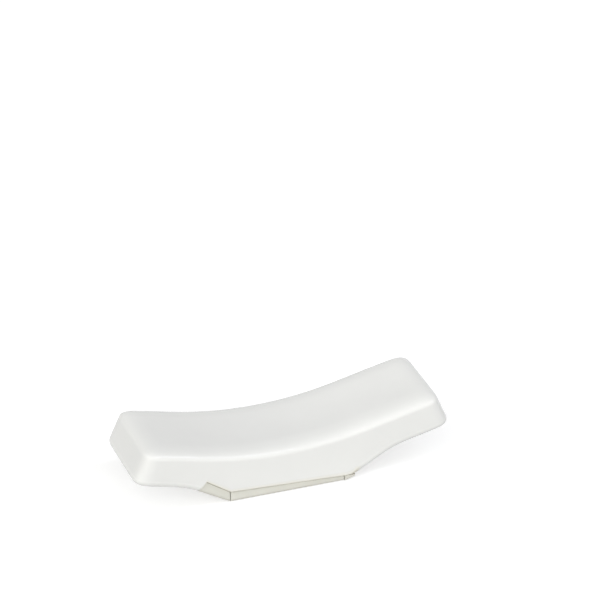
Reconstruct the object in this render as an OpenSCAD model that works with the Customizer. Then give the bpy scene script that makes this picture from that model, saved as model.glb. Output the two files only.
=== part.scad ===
// Chopstick rest: a glazed porcelain bar bent into a shallow smile, with a foot under its middle.
// Cream non-slip strips are bonded into a ground seat under the foot, in three lengths with open seams.
// The frame: +X along the bar, +Y to the back, +Z up, origin on the table under the bar's middle.

/* [Bar] */
// Overall length, end to end
rest_len = 75; // [62:1:100]
// Width across the bar
rest_w = 22.5; // [16:0.5:32]
// Thickness of the bar, square to its wings
bar_t = 9.2; // [7.5:0.1:11.5]
// Height of the dip's lowest point above the table
dip_h = 12.1; // [10:0.1:15]
// How far the dip's lowest point lies to the right of the bar's middle
dip_shift = -2.6; // [-4:0.1:4]
// Radius of the dip, seen from the front
dip_r = 87; // [60:1:110]
// Slope of the straight wings, in degrees
wing_angle = 13.3; // [9:0.1:16]
// Reach of the soft shoulders, from the upper edges in over the top
shoulder = 5.4; // [2.5:0.1:7]
// How far the top falls over that reach
shoulder_drop = 1.9; // [0.8:0.1:2.6]
// Radius of the lower edges
under_round = 1.6; // [0.8:0.1:2.4]
// How much further in the ends lie at the top than at the bottom
end_in = 3.8; // [1.5:0.1:5]

/* [Foot] */
// Length of the foot where it meets the table
foot_len = 27.7; // [22:0.1:36]
// How far the foot's middle lies to the right of the bar's middle
foot_shift = -1.45; // [-3:0.05:3]
// Slope of the foot's flanks, in degrees
flank_angle = 29.5; // [25:0.5:40]
// Radius where a flank runs into a wing
flank_fillet = 25.5; // [6:0.5:32]

/* [Strip seat] */
// Height of the ground seat above the table at the foot's left corner
seat_left = 2.85; // [2.2:0.05:3.6]
// Height of the ground seat above the table at the foot's right corner
seat_right = 1.6; // [1.2:0.05:3]
// Depth of the seat in the left flank, at the foot's corner
slope_seat = 2.4; // [1.8:0.1:3]
// Depth of that seat at its upper end
slope_seat_end = 3.05; // [1.8:0.05:3.4]
// Length of that seat along the flank's surface
slope_seat_len = 8.7; // [5:0.1:10.5]
// How much shorter that seat is at its floor
slope_seat_slant = 0.5; // [0:0.1:2]

/* [Strips] */
// How far the right seam lies inside the foot's right corner
right_seam_in = 0.45; // [0:0.05:4]
// Length of the short strip at the right end
end_strip_len = 2.6; // [1.5:0.1:5]
// How far the end strip's underside lifts off the table at its tip
end_strip_lift = 0.8; // [0:0.1:1.2]
// How far the strips are set back from the bar's front and back faces
strip_inset = 0.45; // [0.1:0.05:1.5]
// Radius of the strips' long lower edges
strip_round = 0.9; // [0.2:0.1:1]
// Open seam between neighbouring strips, and at the slope seat's end
seam = 0.3; // [0.1:0.05:0.6]
// Thickness of the adhesive film over each strip
film_t = 0.2; // [0.1:0.05:0.4]
// How far the film is set back behind the strip's edges
film_inset = 0.15; // [0:0.05:0.5]

/* [Hidden] */

// Facets of an edge's rounding on the bar, and steps along each stretch of it
round_steps = 7;
middle_steps = 10;
flank_steps = 3;
fillet_steps = 8;
wing_steps = 4;
end_steps = 9;
// Facets of the strips' round edges
$fn = 48;
// How square the corners are in plan: 2 is a quarter circle as long as the shoulder, and more is squarer
corner_power = 4;
// Turn of the last section round the end, in degrees, just short of a right angle so that it keeps a width
end_turn = 88.5;
// Overshoot of a cutter past the solid that it cuts
over = 5;
// Largest share of a flank or wing that the fillet between them may use
fillet_share = 0.95;

// Wing: the straight rise that the dip's arc runs into
wing_rise = tan(wing_angle);
dip_end_x = dip_r * sin(wing_angle);
dip_end_z = dip_h + dip_r * (1 - cos(wing_angle));
bar_rise = bar_t / cos(wing_angle);
// Height of a wing's underside, drawn on to the bar's middle
function wing_under_0(side) = dip_end_z - (dip_end_x + side * dip_shift) * wing_rise - bar_rise;

// Ends, whose faces lean in towards the top, and whose lower edges are round
end_high = bar_rise - end_in * wing_rise;
end_slide = end_in / norm([end_in, end_high]);
end_x = rest_len / 2 + under_round * (1 + end_slide - norm([1, end_slide]));
lean = 1 - end_in / end_x;
wing_end = end_x - shoulder;

// Foot flanks, on side -1 (left) or 1 (right), with distances counted outwards from the bar's middle
flank_rise = tan(flank_angle);
fillet_half_turn = (flank_angle - wing_angle) / 2;
function foot_edge(side) = foot_len / 2 + side * foot_shift;
function flank_top(side) = (wing_under_0(side) + foot_edge(side) * flank_rise) / (flank_rise - wing_rise);
function flank_run(side) = (flank_top(side) - foot_edge(side)) / cos(flank_angle);
function wing_run(side) = (wing_end - flank_top(side)) / cos(wing_angle);
// The fillet is limited by the flank and the wing that it joins
function fillet_run(side) =
    min(flank_fillet * tan(fillet_half_turn), fillet_share * flank_run(side), fillet_share * wing_run(side));
function fillet_r(side) = fillet_run(side) / tan(fillet_half_turn);
function fillet_start(side) = flank_top(side) - fillet_run(side) * cos(flank_angle);
function fillet_end(side) = flank_top(side) + fillet_run(side) * cos(wing_angle);

// Height of the bar's upper face at x
function top_z(x) =
    let (out = abs(x - dip_shift))
    out < dip_end_x
        ? dip_h + dip_r - sqrt(dip_r * dip_r - out * out)
        : dip_end_z + (out - dip_end_x) * wing_rise;

// Height of the flank's straight line at a distance out from the middle
function flank_z(side, out) = (out - foot_edge(side)) * flank_rise;

// Height of the round between flank and wing
function fillet_z(side, out) =
    let (r = fillet_r(side), start = fillet_start(side))
    let (centre_x = start + r * sin(flank_angle))
    let (centre_z = flank_z(side, start) - r * cos(flank_angle))
    centre_z + sqrt(r * r - pow(out - centre_x, 2));

// Height of the underside, before the seat is ground: foot, flank, fillet, wing
function under_z(side, out) =
    out <= foot_edge(side) ? 0 :
    out <= fillet_start(side) ? flank_z(side, out) :
    out <= fillet_end(side) ? fillet_z(side, out) :
    wing_under_0(side) + out * wing_rise;

// Evenly spaced values after "from", up to and including "to"
function steps(from, to, count) = [for (i = [1 : count]) from + (to - from) * i / count];

// Distances out from the middle at which one side's sections stand
function side_stations(side) = concat(
    [foot_edge(side)],
    steps(foot_edge(side), fillet_start(side), flank_steps),
    steps(fillet_start(side), fillet_end(side), fillet_steps),
    steps(fillet_end(side), wing_end, wing_steps),
    [for (turn = steps(0, end_turn, end_steps)) wing_end + shoulder * sin(turn)]);

function reversed(list) = [for (i = [len(list) - 1 : -1 : 0]) list[i]];

// Nearness to the outline of the plan, which is 1 there, from the nearness to the end and to the side
function nearness(end, side) =
    min(1, pow(pow(end, corner_power) + pow(side, corner_power), 1 / corner_power));

// How far the top falls, and the underside rises, so near to the outline
function top_fall(near) = shoulder_drop * (1 - sqrt(1 - near * near));
function under_lift(near) =
    let (inside = min(shoulder * (1 - near), under_round))
    under_round - sqrt(pow(under_round, 2) - pow(under_round - inside, 2));

// One section of the bar: a ring of points between a low and a high point, so near to the end
function ring(low, high, near_end) =
    let (height = norm(high - low))
    let (up = (high - low) / height)
    let (widest = pow(1 - pow(near_end, corner_power), 1 / corner_power))
    [for (quarter = [0 : 3], i = [0 : round_steps])
        let (upper = quarter < 2)
        let (side = (quarter == 0 || quarter == 3) ? 1 : -1)
        let (turn = (quarter == 0 || quarter == 2) ? 90 * i / round_steps : 90 * (1 - i / round_steps))
        let (near_side = widest * (1 - (upper ? 1 : under_round / shoulder) * (1 - cos(turn))))
        let (near = nearness(near_end, near_side))
        let (v = upper ? height - top_fall(near) : under_lift(near))
        [low[0] + up[0] * v, side * (rest_w / 2 - shoulder * (1 - near_side)), low[1] + up[1] * v]];

// The section whose lower point stands at x
function section(x) =
    let (side = x < foot_shift ? -1 : 1)
    ring([x, under_z(side, side * x)], [x * lean, top_z(x * lean)], max(0, (abs(x) - wing_end) / shoulder));

bar_rings = concat(
    [for (out = reversed(side_stations(-1))) section(-out)],
    [for (x = steps(-foot_edge(-1), foot_edge(1), middle_steps)) section(x)],
    [for (i = [1 : len(side_stations(1)) - 1]) section(side_stations(1)[i])]);

// Strip seat, drawn from the front: a plane under the foot, and a rebate along the left flank
left_corner = [-foot_edge(-1), 0];
seat_slope = (seat_right - seat_left) / foot_len;
function seat_z(x) = seat_left + (x - left_corner[0]) * seat_slope;

// A point on the left flank: so far along it from the corner, and so deep into the bar
function on_slope(along, depth) = left_corner
    + along * [-cos(flank_angle), sin(flank_angle)]
    + depth * [sin(flank_angle), cos(flank_angle)];

// The floor of the seat in the flank, or a line so far below it
floor_slope = (slope_seat_end - slope_seat) / slope_seat_len;
function floor_depth(along, below) = slope_seat + floor_slope * along - below;
function on_floor(along, below) = on_slope(along, floor_depth(along, below));

// Where the floor of the seat in the flank meets the seat under the foot, both lowered by a drop
inner_turn = [sin(flank_angle) - floor_slope * seat_slope * sin(flank_angle),
              (floor_slope + seat_slope) * cos(flank_angle)];
function inner_corner(drop) =
    (seat_left - drop + (slope_seat - drop) * (seat_slope * sin(flank_angle) - cos(flank_angle)))
    / (inner_turn[0] + inner_turn[1]);

strip_w = rest_w - 2 * strip_inset;
film_w = strip_w - 2 * film_inset;
seam_along = seam / 2 / cos(flank_angle);
seam_x = foot_edge(1) - right_seam_in;
end_strip_tip = seam_x + end_strip_len;
slope_strip_low = inner_corner(film_t) + seam_along;
base_strip_left = on_floor(inner_corner(film_t), film_t)[0] + seam / 2;
base_strip_right = seam_x - seam / 2;
end_strip_left = seam_x + seam / 2;
slope_seat_inner_len = slope_seat_len - slope_seat_slant;
slope_slant = slope_seat_slant / floor_depth(slope_seat_inner_len, 0);
slope_strip_high = slope_seat_inner_len - seam;

// A front outline, drawn in X and Z, made so wide across the bar
module across(width) {
    rotate([90, 0, 0])
        linear_extrude(width, center = true)
            children();
}

// Endless strip stock along X, its underside at z = 0 and its long lower edges rounded
module strip_stock() {
    stock_len = 2 * rest_len;
    stock_h = seat_left + slope_seat_end + over;
    rotate([90, 0, 90])
        linear_extrude(stock_len, center = true) {
            translate([-strip_w / 2, strip_round])
                square([strip_w, stock_h - strip_round]);
            translate([-strip_w / 2 + strip_round, 0])
                square([strip_w - 2 * strip_round, stock_h]);
            for (side = [-1, 1])
                translate([side * (strip_w / 2 - strip_round), strip_round])
                    circle(strip_round);
        }
}

// The bar and foot before grinding: triangles between neighbouring sections, and a flat at each end
module bar() {
    ring_size = len(bar_rings[0]);
    last = (len(bar_rings) - 1) * ring_size;
    sides = [for (k = [0 : len(bar_rings) - 2], i = [0 : ring_size - 1], half = [0, 1])
        let (a = k * ring_size + i, b = k * ring_size + (i + 1) % ring_size)
        half == 0 ? [a, a + ring_size, b] : [b, a + ring_size, b + ring_size]];
    left_end = [for (i = [0 : ring_size - 1]) i];
    right_end = [for (i = [ring_size - 1 : -1 : 0]) last + i];
    polyhedron([for (one = bar_rings) each one], concat(sides, [left_end, right_end]));
}

// Everything under the ground seat
module seat_cut() {
    far_x = left_corner[0] + 2 * foot_len;
    outer = on_slope(slope_seat_len + over * slope_slant, -over);
    across(rest_w + 2 * over)
        polygon([
            on_floor(slope_seat_inner_len, 0),
            on_floor(inner_corner(0), 0),
            [far_x, seat_z(far_x)],
            [far_x, -over],
            [outer[0], -over],
            outer]);
}

// Porcelain body
module rest_body() {
    color("#F0F0EE")
        difference() {
            bar();
            seat_cut();
        }
}

// Strip under the foot, which carries the rest; thicker at its left end
module base_strip() {
    color("#DEDED2")
        intersection() {
            strip_stock();
            across(rest_w)
                polygon([
                    [left_corner[0] + seam / 2, 0],
                    [base_strip_right, 0],
                    [base_strip_right, seat_z(base_strip_right) - film_t],
                    [base_strip_left, seat_z(base_strip_left) - film_t]]);
        }
}

// Strip along the left flank, flush with the flank's surface
module slope_strip() {
    color("#DADACC")
        intersection() {
            translate([left_corner[0], 0, left_corner[1]])
                rotate([0, flank_angle, 0])
                    strip_stock();
            across(rest_w)
                polygon([
                    on_slope(seam_along, 0),
                    on_floor(slope_strip_low, film_t),
                    on_floor(slope_strip_high, film_t),
                    on_slope(slope_seat_len - seam, 0)]);
        }
}

// Short strip at the right end, whose tip lifts off the table
module end_strip() {
    color("#CACABE")
        intersection() {
            strip_stock();
            across(rest_w)
                polygon([
                    [end_strip_left, 0],
                    [end_strip_tip, end_strip_lift],
                    [end_strip_tip, seat_z(end_strip_tip) - film_t],
                    [end_strip_left, seat_z(end_strip_left) - film_t]]);
        }
}

// Adhesive between a level strip and the seat above it, from one x to another
module seat_film(from, to) {
    color("#8C8878")
        across(film_w)
            polygon([
                [from, seat_z(from) - film_t],
                [to, seat_z(to) - film_t],
                [to, seat_z(to)],
                [from, seat_z(from)]]);
}

module base_film() {
    seat_film(base_strip_left + film_inset, base_strip_right - film_inset);
}

module end_film() {
    seat_film(end_strip_left + film_inset, end_strip_tip - film_inset);
}

// Adhesive between the slope strip and the rebate in the flank
module slope_film() {
    color("#8C8878")
        across(film_w)
            polygon([
                on_floor(slope_strip_low + film_inset, film_t),
                on_floor(slope_strip_low + film_inset, 0),
                on_floor(slope_strip_high - film_inset, 0),
                on_floor(slope_strip_high - film_inset, film_t)]);
}

rest_body();
base_strip();
slope_strip();
end_strip();
base_film();
slope_film();
end_film();
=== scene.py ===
import math

import bmesh
import bpy
from mathutils import Matrix, Vector, noise


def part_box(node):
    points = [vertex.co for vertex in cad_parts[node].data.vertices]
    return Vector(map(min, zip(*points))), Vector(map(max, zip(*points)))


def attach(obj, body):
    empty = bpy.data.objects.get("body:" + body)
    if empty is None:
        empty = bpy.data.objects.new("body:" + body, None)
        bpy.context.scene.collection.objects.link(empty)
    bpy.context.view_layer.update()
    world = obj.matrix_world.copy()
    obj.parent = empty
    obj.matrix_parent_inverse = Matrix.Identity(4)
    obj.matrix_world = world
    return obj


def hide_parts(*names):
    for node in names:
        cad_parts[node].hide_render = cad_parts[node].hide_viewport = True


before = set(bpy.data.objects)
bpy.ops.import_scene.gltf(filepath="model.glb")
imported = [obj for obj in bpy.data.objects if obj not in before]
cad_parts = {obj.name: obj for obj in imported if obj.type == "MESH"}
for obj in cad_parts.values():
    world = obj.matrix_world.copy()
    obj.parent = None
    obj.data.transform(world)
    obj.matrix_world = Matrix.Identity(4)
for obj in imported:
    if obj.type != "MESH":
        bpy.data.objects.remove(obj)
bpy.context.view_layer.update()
scene = bpy.context.scene


# Porcelain body.
# The rest is one bar of pressed porcelain, bent like a shallow smile, with a foot under its middle.
# It is dipped in clear glaze and fired, and the foot's underside is then ground bare for strips.
MM = 0.001
LEFT, RIGHT = -1, 1

# Length and width are the CAD model's, less a hair at each end, so that the bar stays in its box
end_margin = 0.01
body_low, body_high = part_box("rest_body")
half_len = (body_high.x - body_low.x) / 2 / MM - end_margin
half_w = (body_high.y - body_low.y) / 2 / MM

# The bar's thickness, the dip's lowest height, place and radius, and the slope of the wings
bar_t = 9.2
dip_h = 12.1
dip_shift = -2.6
dip_r = 87.0
wing = math.radians(13.3)

# Soft shoulders round the top, squarish corners in plan, and tighter edges below
shoulder = 5.4
shoulder_drop = 1.9
corner_power = 4
under_round = 1.6
seat_round = 0.3
hard_edge = math.radians(35)

# The foot's length and place, the slope of its flanks, and the hollow between flank and wing
foot_len = 27.7
foot_shift = -1.45
flank = math.radians(29.5)
hollow_r = 25.5

# Height of the ground seat at either end of the foot, and the rebate that carries it up the left
# flank
seat_left = 2.85
seat_right = 1.6
slope_seat = 2.4
slope_seat_end = 3.05
slope_seat_len = 8.7
slope_seat_slant = 0.5

# How far each end leans in at the top. In firing, the top has dished across its width and the ends
# have drooped. The right end has kept a crisper edge.
end_in = {LEFT: 3.8, RIGHT: 3.65}
dish = 0.45
droop = {LEFT: 0.28, RIGHT: 0.2}
droop_run = 12.0
right_crisp = 1.7

# How bare the body is in the narrow matt margin along the ground edge
margin_bareness = 0.6

dip_end_x = dip_r * math.sin(wing)
dip_end_z = dip_h + dip_r * (1 - math.cos(wing))
bar_rise = bar_t / math.cos(wing)
wing_under = {
    side: dip_end_z - (dip_end_x + side * dip_shift) * math.tan(wing) - bar_rise
    for side in (LEFT, RIGHT)}
end_slide = end_in[LEFT] / math.hypot(end_in[LEFT], bar_rise - end_in[LEFT] * math.tan(wing))
corner_x = half_len + under_round * (1 + end_slide - math.hypot(1, end_slide))
lean = {side: 1 - end_in[side] / corner_x for side in (LEFT, RIGHT)}
foot_edge = {side: foot_len / 2 + side * foot_shift for side in (LEFT, RIGHT)}


def flank_top(side):
    """How far out a flank's straight line meets the wing's underside."""
    rise = math.tan(flank) - math.tan(wing)
    return (wing_under[side] + foot_edge[side] * math.tan(flank)) / rise


hollow_run = hollow_r * math.tan((flank - wing) / 2)
hollow_from = {side: flank_top(side) - hollow_run * math.cos(flank) for side in (LEFT, RIGHT)}
hollow_to = {side: flank_top(side) + hollow_run * math.cos(wing) for side in (LEFT, RIGHT)}


def on_slope(along, depth):
    """A point on the left flank, so far up it from the foot's corner and so deep into the bar."""
    x = -foot_edge[LEFT] - along * math.cos(flank) + depth * math.sin(flank)
    z = along * math.sin(flank) + depth * math.cos(flank)
    return Vector((x, z))


def floor_depth(along):
    """Depth of the seat in the left flank."""
    return slope_seat + (slope_seat_end - slope_seat) * along / slope_seat_len


def seat_z(x):
    """Height of the ground seat under the foot."""
    return seat_left + (seat_right - seat_left) * (x + foot_edge[LEFT]) / foot_len


# The seat's corners, seen from the front: the rebate's edge and inner corner, the bend at the foot,
# and where it runs out on the right flank
seat_inner_len = slope_seat_len - slope_seat_slant
rebate_edge = on_slope(slope_seat_len, 0)
rebate_inner = on_slope(seat_inner_len, floor_depth(seat_inner_len))
floor_start = on_slope(0, slope_seat)
floor_fall = (rebate_inner.y - floor_start.y) / (rebate_inner.x - floor_start.x)
seat_fall = (seat_right - seat_left) / foot_len
bend_x = (seat_z(0) - floor_start.y + floor_fall * floor_start.x) / (floor_fall - seat_fall)
seat_bend = Vector((bend_x, seat_z(bend_x)))
seat_end_x = (seat_z(0) + foot_edge[RIGHT] * math.tan(flank)) / (math.tan(flank) - seat_fall)


def between(x, a, b):
    """Height at x on the straight line from a to b."""
    return a.y + (b.y - a.y) * (x - a.x) / (b.x - a.x)


def top_z(x):
    """Height of the upper face: the dip's arc, then the straight wing."""
    out = abs(x - dip_shift)
    if out < dip_end_x:
        return dip_h + dip_r - math.sqrt(dip_r ** 2 - out ** 2)
    return dip_end_z + (out - dip_end_x) * math.tan(wing)


def under_z(x):
    """Height of the underside: wing, hollow, flank and, between them, the ground seat."""
    if rebate_edge.x < x < seat_end_x:
        if x < rebate_inner.x:
            return between(x, rebate_edge, rebate_inner)
        if x < seat_bend.x:
            return between(x, rebate_inner, seat_bend)
        return seat_z(x)
    side = LEFT if x < foot_shift else RIGHT
    out = side * x
    if out > hollow_to[side]:
        return wing_under[side] + out * math.tan(wing)
    if out < hollow_from[side]:
        return (out - foot_edge[side]) * math.tan(flank)
    centre_x = hollow_from[side] + hollow_r * math.sin(flank)
    start_z = (hollow_from[side] - foot_edge[side]) * math.tan(flank)
    centre_z = start_z - hollow_r * math.cos(flank)
    return centre_z + math.sqrt(hollow_r ** 2 - (out - centre_x) ** 2)


def lower_round(x):
    """Radius of the long lower edge: soft under the wings and crisp along the ground seat.

    It grows soft again where the seat runs out on the right flank.
    """
    if x <= rebate_edge.x or x >= seat_end_x:
        return under_round
    if x <= foot_edge[RIGHT]:
        return seat_round
    cut = max(seat_z(x) - (x - foot_edge[RIGHT]) * math.tan(flank), 0.0)
    share = max(0.0, 1 - cut / under_round)
    return seat_round + (under_round - seat_round) * share ** 2


def spread(stops):
    """Values from the first stop to the last, with so many steps up to each stop."""
    values = [stops[0][0]]
    for value, count in stops[1:]:
        start = values[-1]
        values += [start + (value - start) * i / count for i in range(1, count + 1)]
    return values


# The mesh's lines along, across and up the bar, closer together where an edge turns
round_steps = 14
soft = [(1 - math.sin(math.pi / 2 * i / round_steps)) * shoulder for i in range(round_steps, 0, -1)]
station_x = [-corner_x + d for d in soft] + spread([
    (-corner_x + shoulder, 0), (-hollow_to[LEFT], 4), (rebate_edge.x, 12), (rebate_inner.x, 3),
    (seat_bend.x, 8), (seat_end_x, 42), (hollow_from[RIGHT], 5), (hollow_to[RIGHT], 10),
    (corner_x - shoulder, 8)]) + [corner_x - d for d in reversed(soft)]
across_y = [-half_w + d for d in soft] + spread([
    (-half_w + shoulder, 0), (half_w - shoulder, 14)]) + [half_w - d for d in reversed(soft)]
up_share = spread([(0, 0), (1, 10)])
mesh_lines = station_x, across_y, up_share


def body_point(x, y, share):
    """Where a point of the squared-off bar lies on the rounded one, in millimetres.

    Share is its place from the underside, 0, to the top, 1. Also tells how far round an edge it is.
    """
    near_end = max(0.0, 1 - (corner_x - abs(x)) / shoulder)
    near_side = max(0.0, 1 - (half_w - abs(y)) / shoulder)
    near = max(near_end, near_side)
    if near > 0:
        rim = (near_end ** corner_power + near_side ** corner_power) ** (1 / corner_power)
        pull = near / rim
        if near_end > 0:
            x = math.copysign(corner_x - shoulder * (1 - near_end * pull), x)
        if near_side > 0:
            y = math.copysign(half_w - shoulder * (1 - near_side * pull), y)
    side = LEFT if x < 0 else RIGHT
    sunk = dish * (1 - (y / half_w) ** 2) ** 2 * (1 - near_end)
    sunk += droop[side] * max(0.0, 1 - (corner_x - abs(x)) / droop_run) ** 2
    high_x = x * lean[side]
    high = Vector((high_x, top_z(high_x) - sunk))
    low = Vector((x, under_z(x)))
    height = (high - low).length
    low_r = lower_round(x)
    if share == 0:
        inside = min(shoulder * (1 - near), low_r)
        v = low_r - math.sqrt(low_r ** 2 - (low_r - inside) ** 2)
        turned = v / low_r
    elif share == 1:
        if x > 0 and near_end > near_side:
            near **= 1 + (right_crisp - 1) * (1 - near_side / near_end)
        drop = shoulder_drop * (1 - math.sqrt(1 - near ** 2))
        v = height - drop
        turned = drop / shoulder_drop
    else:
        v = low_r + (height - shoulder_drop - low_r) * share
        turned = 0.0
    place = low + (high - low) / height * v
    return Vector((place.x, y, place.y)), turned


# A cube from -1 to 1 is cut along the mesh's lines, and each point goes to its place on the bar
bm = bmesh.new()
bmesh.ops.create_cube(bm, size=2)
for axis, values in enumerate(mesh_lines):
    along = [e for e in bm.edges if abs(e.verts[0].co[axis] - e.verts[1].co[axis]) > 1]
    bmesh.ops.subdivide_edges(bm, edges=along, cuts=len(values) - 2, use_grid_fill=True)
bmesh.ops.recalc_face_normals(bm, faces=bm.faces)
edge_layer = bm.verts.layers.float.new("edge_round")
bare_layer = bm.verts.layers.float.new("bare_foot")
for vert in bm.verts:
    x, y, share = (
        values[round((co + 1) / 2 * (len(values) - 1))] for co, values in zip(vert.co, mesh_lines))
    place, turned = body_point(x, y, share)
    vert[edge_layer] = turned
    if share == 0 and rebate_edge.x < x < seat_end_x:
        vert[bare_layer] = 1.0 if abs(y) < half_w else margin_bareness
    vert.co = place * MM
for face in bm.faces:
    face.smooth = True
for edge in bm.edges:
    if edge.is_manifold and edge.calc_face_angle() > hard_edge:
        edge.smooth = False


def linear(code):
    """An sRGB hex colour as linear red, green, blue and alpha."""
    parts = [int(code[i:i + 2], 16) / 255 for i in (1, 3, 5)]
    return [c / 12.92 if c <= 0.04045 else ((c + 0.055) / 1.055) ** 2.4 for c in parts] + [1.0]


def new_finish(name):
    """A new material, with its node tree and its shader."""
    made = bpy.data.materials.new(name)
    made.use_nodes = True
    return made, made.node_tree, made.node_tree.nodes["Principled BSDF"]


def add(tree, kind, inputs=(), **options):
    """Adds a node, sets its options, and gives each input a value or another node's output."""
    made = tree.nodes.new(kind)
    for name, value in options.items():
        setattr(made, name, value)
    for socket, source in dict(inputs).items():
        if isinstance(source, bpy.types.NodeSocket):
            tree.links.new(source, made.inputs[socket])
        else:
            made.inputs[socket].default_value = source
    return made


# Clear feldspathic glaze over white porcelain: a hard, smooth gloss that runs a little uneven as it
# melts. It pulls thin and whiter over the edges, and the ground foot is bare, matt and slightly
# warmer. The pinholes are drawn wider than most are, to show.
glaze_shades = "#F1F1EF", "#F6F6F4"
thin_glaze = "#F9F9F7"
bare_porcelain = "#E9E6DA"
glaze_rough = 0.045, 0.085
bare_rough = 0.75
cloud_mm, ripple_mm, pinhole_mm, pinhole_gap_mm = 9.0, 2.6, 0.528, 4.4
ripple_depth_mm, pinhole_depth_mm = 0.05, 0.04
glaze, tree, shader = new_finish("clear_glazed_porcelain")
shader.inputs["IOR"].default_value = 1.5
place = add(tree, "ShaderNodeTexCoord").outputs["Object"]
cloud = add(tree, "ShaderNodeTexNoise", {
    "Vector": place, "Scale": 1 / (cloud_mm * MM), "Detail": 3.0, "Roughness": 0.55})
tone = add(tree, "ShaderNodeMix", {
    "Factor": cloud.outputs["Fac"], "A": linear(glaze_shades[0]), "B": linear(glaze_shades[1])},
    data_type="RGBA")
turn = add(tree, "ShaderNodeAttribute", attribute_name="edge_round")
thin_share = add(tree, "ShaderNodeMapRange", {
    "Value": turn.outputs["Fac"], "From Min": 0.2, "To Max": 0.6}, interpolation_type="SMOOTHSTEP")
thinned = add(tree, "ShaderNodeMix", {
    "Factor": thin_share.outputs[0], "A": tone.outputs["Result"], "B": linear(thin_glaze)},
    data_type="RGBA")
bare = add(tree, "ShaderNodeAttribute", attribute_name="bare_foot")
body_colour = add(tree, "ShaderNodeMix", {
    "Factor": bare.outputs["Fac"], "A": thinned.outputs["Result"], "B": linear(bare_porcelain)},
    data_type="RGBA")
tree.links.new(body_colour.outputs["Result"], shader.inputs["Base Color"])
gloss = add(tree, "ShaderNodeMapRange", {
    "Value": cloud.outputs["Fac"], "To Min": glaze_rough[0], "To Max": glaze_rough[1]})
roughness = add(tree, "ShaderNodeMix", {
    "Factor": bare.outputs["Fac"], "A": gloss.outputs[0], "B": bare_rough}, data_type="FLOAT")
tree.links.new(roughness.outputs["Result"], shader.inputs["Roughness"])
ripple = add(tree, "ShaderNodeTexNoise", {
    "Vector": place, "Scale": 1 / (ripple_mm * MM), "Detail": 1.5})
waves = add(tree, "ShaderNodeBump", {
    "Height": ripple.outputs["Fac"], "Strength": 0.05, "Distance": ripple_depth_mm * MM})
pits = add(tree, "ShaderNodeTexVoronoi", {"Vector": place, "Scale": 1 / (pinhole_gap_mm * MM)})
pit = add(tree, "ShaderNodeMapRange", {
    "Value": pits.outputs["Distance"], "From Max": pinhole_mm / 2 / pinhole_gap_mm})
skin = add(tree, "ShaderNodeBump", {
    "Height": pit.outputs[0], "Normal": waves.outputs["Normal"],
    "Strength": 0.04, "Distance": pinhole_depth_mm * MM})
tree.links.new(skin.outputs["Normal"], shader.inputs["Normal"])


def set_down(bm, name, material):
    """Puts a finished mesh into the scene as an object of that name and material."""
    mesh = bpy.data.meshes.new(name)
    bm.to_mesh(mesh)
    bm.free()
    mesh.materials.append(material)
    made = bpy.data.objects.new(name, mesh)
    scene.collection.objects.link(made)
    return made


porcelain_bar = set_down(bm, "porcelain_bar", glaze)
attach(porcelain_bar, "root")
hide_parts("rest_body")


# Non-slip strips.
# Three lengths of cream rubber are bonded into the ground seat, with open seams between them. The
# middle one carries the rest, one follows the left flank, and a short one ends short of the right.

# They stand back from the bar's sides and from the rebate's end, over a film of adhesive
strip_inset = 0.45
rebate_gap = 0.03
film_t = 0.2

# The right seam's place, and the length and lifted tip of the short strip beyond it. The seams are
# drawn finer than in the CAD model, because they come out darker than they are.
right_seam_in = 0.45
end_strip_len = 2.6
end_strip_lift = 0.8
seam = 0.2

# Rounding of the sole's long edges, its limit as a share of the thinner end, and that of cut edges
strip_round = 0.9
round_share = 0.7
round_cuts = 6
cut_round = 0.06
edge_cuts = 3
cut_edge = math.radians(30)

strip_half_w = half_w - strip_inset
seam_x = foot_edge[RIGHT] - right_seam_in
end_tip_x = seam_x + end_strip_len
seam_along = seam / 2 / math.cos(flank)


def on_floor(along, below):
    """A point so far up the rebate in the flank, and so far below its floor."""
    return on_slope(along, floor_depth(along) - below)


def under_seat(x):
    """A point under the adhesive on the level part of the seat."""
    return Vector((x, seat_z(x) - film_t))


# Each strip's outline from the front: the sole to the right, then the bonded side back to the left
floor_low = on_floor(0, film_t)
floor_high = on_floor(seat_inner_len, film_t)
seat_under = seat_z(0) - film_t
bend_low = (seat_under - floor_low.y + floor_fall * floor_low.x) / (floor_fall - seat_fall)
bend_along = (floor_low.x - bend_low) / (floor_low.x - floor_high.x) * seat_inner_len
slope_low = bend_along + seam_along
outlines = {
    "base_strip": [
        Vector((-foot_edge[LEFT] + seam / 2, 0)), Vector((seam_x - seam / 2, 0)),
        under_seat(seam_x - seam / 2), under_seat(bend_low + seam / 2)],
    "slope_strip": [
        on_slope(slope_seat_len - rebate_gap, 0), on_slope(seam_along, 0),
        on_floor(slope_low, film_t), on_floor(seat_inner_len - rebate_gap, film_t)],
    "end_strip": [
        Vector((seam_x + seam / 2, 0)), Vector((end_tip_x, end_strip_lift)),
        under_seat(end_tip_x), under_seat(seam_x + seam / 2)],
}

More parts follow.
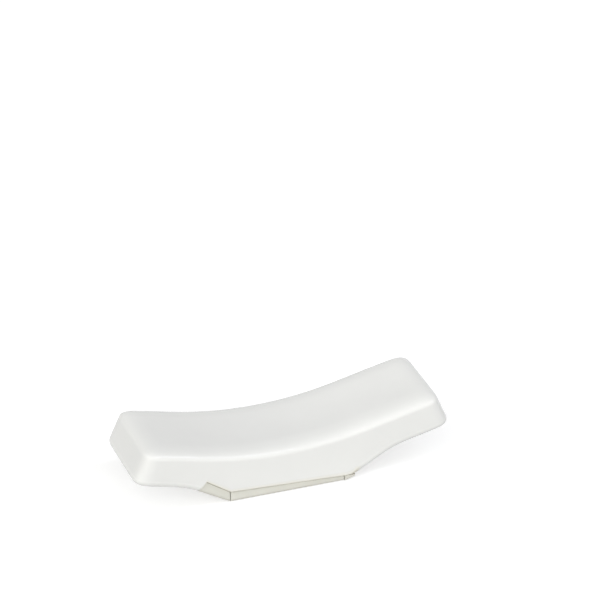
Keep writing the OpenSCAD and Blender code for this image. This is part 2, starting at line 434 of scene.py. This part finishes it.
# Filled natural rubber, moulded in sheet and cut: a matt cream with a fine grain. Towards the table
# it is painted a little greyer, as painted shade along the sole. The grain is drawn coarser than it
# is, to show.
cream_shades = "#E2E1D8", "#EDECE4"
shaded_cream = "#E0DED5"
rubber_rough = 0.55, 0.8
blotch_mm, grain_mm, grain_depth_mm = 3.0, 0.35, 0.05
rubber, tree, shader = new_finish("cream_moulded_rubber")
shader.inputs["IOR"].default_value = 1.52
shader.inputs["Specular IOR Level"].default_value = 0.3
place = add(tree, "ShaderNodeTexCoord").outputs["Object"]
blotch = add(tree, "ShaderNodeTexNoise", {
    "Vector": place, "Scale": 1 / (blotch_mm * MM), "Detail": 4.0, "Roughness": 0.6})
cream = add(tree, "ShaderNodeMix", {
    "Factor": blotch.outputs["Fac"], "A": linear(cream_shades[0]), "B": linear(cream_shades[1])},
    data_type="RGBA")
# Painted shade: the cream turns greyer towards the sole, where the strip sits on the table
raised = add(tree, "ShaderNodeAttribute", attribute_name="above_sole")
shade_share = add(tree, "ShaderNodeMapRange", {
    "Value": raised.outputs["Fac"], "To Min": 1.0, "To Max": 0.0}, interpolation_type="SMOOTHSTEP")
shaded_rubber = add(tree, "ShaderNodeMix", {
    "Factor": shade_share.outputs[0], "A": cream.outputs["Result"], "B": linear(shaded_cream)},
    data_type="RGBA")
tree.links.new(shaded_rubber.outputs["Result"], shader.inputs["Base Color"])
grain = add(tree, "ShaderNodeTexNoise", {
    "Vector": place, "Scale": 1 / (grain_mm * MM), "Detail": 2.0})
matt = add(tree, "ShaderNodeMapRange", {
    "Value": grain.outputs["Fac"], "To Min": rubber_rough[0], "To Max": rubber_rough[1]})
tree.links.new(matt.outputs[0], shader.inputs["Roughness"])
tooth = add(tree, "ShaderNodeBump", {
    "Height": grain.outputs["Fac"], "Strength": 0.25, "Distance": grain_depth_mm * MM})
tree.links.new(tooth.outputs["Normal"], shader.inputs["Normal"])

for name, outline in outlines.items():
    bm = bmesh.new()
    corners = [bm.verts.new((p.x * MM, -strip_half_w * MM, p.y * MM)) for p in outline]
    front = bm.faces.new(corners)
    bmesh.ops.extrude_face_region(bm, geom=[front])
    bmesh.ops.translate(bm, verts=front.verts, vec=(0, 2 * strip_half_w * MM, 0))
    bmesh.ops.recalc_face_normals(bm, faces=bm.faces)
    # The sole's long edges are rounded as far as the thinner end allows, and then every cut edge
    sole = min(bm.faces, key=lambda f: f.normal.z)
    sole_point, sole_up = sole.verts[0].co.copy(), -sole.normal
    long_edges = [
        e for e in sole.edges if abs(e.verts[0].co.y - e.verts[1].co.y) < cut_round * MM]
    thinnest = min((outline[0] - outline[3]).length, (outline[1] - outline[2]).length)
    long_round = min(strip_round, thinnest * round_share)
    bmesh.ops.bevel(bm, geom=long_edges, offset=long_round * MM, offset_type="OFFSET",
                    segments=round_cuts, profile=0.5, affect="EDGES", material=-1)
    sharp = [e for e in bm.edges if e.calc_face_angle(0) > cut_edge]
    bmesh.ops.bevel(bm, geom=sharp, offset=cut_round * MM, offset_type="OFFSET",
                    segments=edge_cuts, profile=0.5, affect="EDGES", material=-1)
    sole_layer = bm.verts.layers.float.new("above_sole")
    for vert in bm.verts:
        vert[sole_layer] = (vert.co - sole_point).dot(sole_up) / (seat_right * MM)
    for face in bm.faces:
        face.smooth = True
    strip = set_down(bm, "rubber_" + name, rubber)
    even = strip.modifiers.new("even_normals", "WEIGHTED_NORMAL")
    even.keep_sharp = True
    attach(strip, "root")
    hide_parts(name)


# Adhesive films.
# A thin film of grey-brown contact adhesive bonds each strip to the bare porcelain.
# Its edge lies a little behind the strip's, and shows as a fine dark line above it.

# How far the edge lies back, how far and how often it wanders in and out, and the mesh's fineness
film_inset = 0.06
film_wave = 0.08
wave_mm = 2.5
film_cells = 40
at_rim = 0.99
film_half_w = strip_half_w - film_inset
films = {
    "base_film": (
        under_seat(bend_low + seam / 2 + film_inset), under_seat(seam_x - seam / 2 - film_inset)),
    "slope_film": (
        on_floor(seat_inner_len - seam - film_inset, film_t),
        on_floor(slope_low + film_inset, film_t)),
    "end_film": (
        under_seat(seam_x + seam / 2 + film_inset), under_seat(end_tip_x - film_inset)),
}

# Brushed contact adhesive, dried: a dull grey-brown, smeared unevenly between tacky and matt. It is
# drawn paler than it is, because so fine a line comes out darker.
glue_shades = "#9C988C", "#BAB6AA"
glue_rough = 0.35, 0.6
smear_mm = 1.2
adhesive, tree, shader = new_finish("contact_adhesive")
place = add(tree, "ShaderNodeTexCoord").outputs["Object"]
smear = add(tree, "ShaderNodeTexNoise", {
    "Vector": place, "Scale": 1 / (smear_mm * MM), "Detail": 3.0})
glue = add(tree, "ShaderNodeMix", {
    "Factor": smear.outputs["Fac"], "A": linear(glue_shades[0]), "B": linear(glue_shades[1])},
    data_type="RGBA")
tree.links.new(glue.outputs["Result"], shader.inputs["Base Color"])
tack = add(tree, "ShaderNodeMapRange", {
    "Value": smear.outputs["Fac"], "To Min": glue_rough[0], "To Max": glue_rough[1]})
tree.links.new(tack.outputs[0], shader.inputs["Roughness"])

for name, (left, right) in films.items():
    run = right - left
    up = Vector((-run.y, run.x)).normalized() * film_t
    bm = bmesh.new()
    bmesh.ops.create_grid(bm, x_segments=film_cells, y_segments=film_cells, size=1)
    for vert in bm.verts:
        # The film's rim wanders in and out, as it was squeezed
        at_end, at_side = abs(vert.co.x) > at_rim, abs(vert.co.y) > at_rim
        outward = Vector((
            run.x * vert.co.x / run.length if at_end else 0, vert.co.y if at_side else 0, 0))
        along, y = left + run * (vert.co.x + 1) / 2, vert.co.y * film_half_w
        spot = Vector((along.x, y, along.y))
        wave = noise.noise(spot / wave_mm) * film_wave
        vert.co = (spot + outward * wave) * MM
    grown = bmesh.ops.extrude_face_region(bm, geom=bm.faces[:])["geom"]
    upper = [v for v in grown if isinstance(v, bmesh.types.BMVert)]
    bmesh.ops.translate(bm, verts=upper, vec=Vector((up.x, 0, up.y)) * MM)
    bmesh.ops.recalc_face_normals(bm, faces=bm.faces)
    film = set_down(bm, "glue_" + name, adhesive)
    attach(film, "root")
    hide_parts(name)


# Floor, light and camera.
# A white table runs out of sight on all sides, under a pale room with soft lamps.
# The camera stands a little to the left and above, well back, as for a catalogue picture.
table_size = 6
table_white = "#CECECE"
table_lift = 0.60
bpy.ops.mesh.primitive_plane_add(size=table_size, location=(0, 0, 0))
table = bpy.context.object
table.name = "white_table"


def background_rays(tree):
    """1 for rays that show the background: the camera's, reflections and light through glass."""
    seen = add(tree, "ShaderNodeLightPath")
    shown = add(tree, "ShaderNodeMath", {
        0: seen.outputs["Is Camera Ray"], 1: seen.outputs["Is Glossy Ray"]}, operation="MAXIMUM")
    shown = add(tree, "ShaderNodeMath", {
        0: shown.outputs[0], 1: seen.outputs["Is Transmission Ray"]}, operation="MAXIMUM")
    return shown.outputs[0]


# Matt painted board: plain white without a shine, which takes a soft shadow.
# It is lifted to white where it is seen, and the lift throws no light on the rest.
white, tree, shader = new_finish("matt_white_table")
shader.inputs["Base Color"].default_value = linear(table_white)
shader.inputs["Roughness"].default_value = 0.9
shader.inputs["Specular IOR Level"].default_value = 0.0
shader.inputs["Emission Color"].default_value = (1, 1, 1, 1)
glow = add(tree, "ShaderNodeMath", {0: background_rays(tree), 1: table_lift}, operation="MULTIPLY")
tree.links.new(glow.outputs[0], shader.inputs["Emission Strength"])
table.data.materials.append(white)

# The room is white where it is seen. What it throws on the rest is a dim light, growing towards the
# ceiling, and that of a broad window in front, to the left.
room_white = "#FFFFFC"
ceiling_from, wall_light, ceiling_light = 0.65, 0.06, 0.155
window_toward = Vector((-0.47, -0.79, 0.39)).normalized()
window_rim, window_light = 0.30, 1.75
world = bpy.data.worlds.new("pale_room")
scene.world = world
world.use_nodes = True
tree = world.node_tree
room = tree.nodes["Background"]
room.inputs["Color"].default_value = linear(room_white)
ray = add(tree, "ShaderNodeTexCoord").outputs["Generated"]
height = add(tree, "ShaderNodeSeparateXYZ", {"Vector": ray})
ceiling = add(tree, "ShaderNodeMapRange", {
    "Value": height.outputs["Z"], "From Max": ceiling_from,
    "To Min": wall_light, "To Max": ceiling_light}, interpolation_type="SMOOTHSTEP")
ahead = add(tree, "ShaderNodeVectorMath", {0: ray, 1: window_toward}, operation="DOT_PRODUCT")
window = add(tree, "ShaderNodeMapRange", {
    "Value": ahead.outputs["Value"], "From Min": window_rim, "To Max": window_light},
    interpolation_type="SMOOTHSTEP")
light = add(tree, "ShaderNodeMath", {0: ceiling.outputs[0], 1: window.outputs[0]}, operation="ADD")
strength = add(tree, "ShaderNodeMix", {
    "Factor": background_rays(tree), "A": light.outputs[0], "B": 1.0}, data_type="FLOAT")
tree.links.new(strength.outputs["Result"], room.inputs["Strength"])

# A long lamp overhead, in a strong and a weak length, draws the bright line along the front edge,
# and two broad ones lift the top and the back. Each has its direction, size, power and colour.
lamps = {
    "overhead_right": ((0.56, -0.28, 0.78), (0.75, 0.09), 1.86, "#F0F3FF"),
    "overhead_left": ((-0.03, -0.28, 0.96), (0.45, 0.09), 0.16, "#F0F3FF"),
    "back": ((-0.75, 0.32, 0.58), (1.00, 0.90), 1.00, "#FCFCFC"),
    "rear": ((0.45, 0.80, 0.40), (1.40, 0.70), 0.9, "#FFFFFF"),
}
lamp_aim = Vector((0, 0, 0.008))
lamp_distance = 1.0
bar_line = Vector((1, 0, 0))
for name, (direction, size, power, colour) in lamps.items():
    lamp = bpy.data.lights.new(name, "AREA")
    lamp.shape = "RECTANGLE"
    lamp.size, lamp.size_y = size
    lamp.energy = power
    lamp.color = linear(colour)[:3]
    holder = bpy.data.objects.new(name, lamp)
    toward = Vector(direction).normalized()
    along = (bar_line - toward * toward.dot(bar_line)).normalized()
    holder.location = lamp_aim + toward * lamp_distance
    holder.rotation_euler = Matrix((along, toward.cross(along), toward)).transposed().to_euler()
    scene.collection.objects.link(holder)

view_azimuth = math.radians(-19.96)
view_elevation = math.radians(28.54)
view_distance = 0.8667
view_target = Vector((0.00518, 0, 0.04241))
picture_px = 600
focal_px = 3889.3
away = Vector((math.sin(view_azimuth) * math.cos(view_elevation),
               -math.cos(view_azimuth) * math.cos(view_elevation), math.sin(view_elevation)))
lens = bpy.data.cameras.new("camera")
lens.lens = lens.sensor_width * focal_px / picture_px
camera = bpy.data.objects.new("camera", lens)
camera.location = view_target + away * view_distance
camera.rotation_euler = (-away).to_track_quat("-Z", "Y").to_euler()
scene.collection.objects.link(camera)
scene.camera = camera
scene.view_settings.view_transform = "Standard"
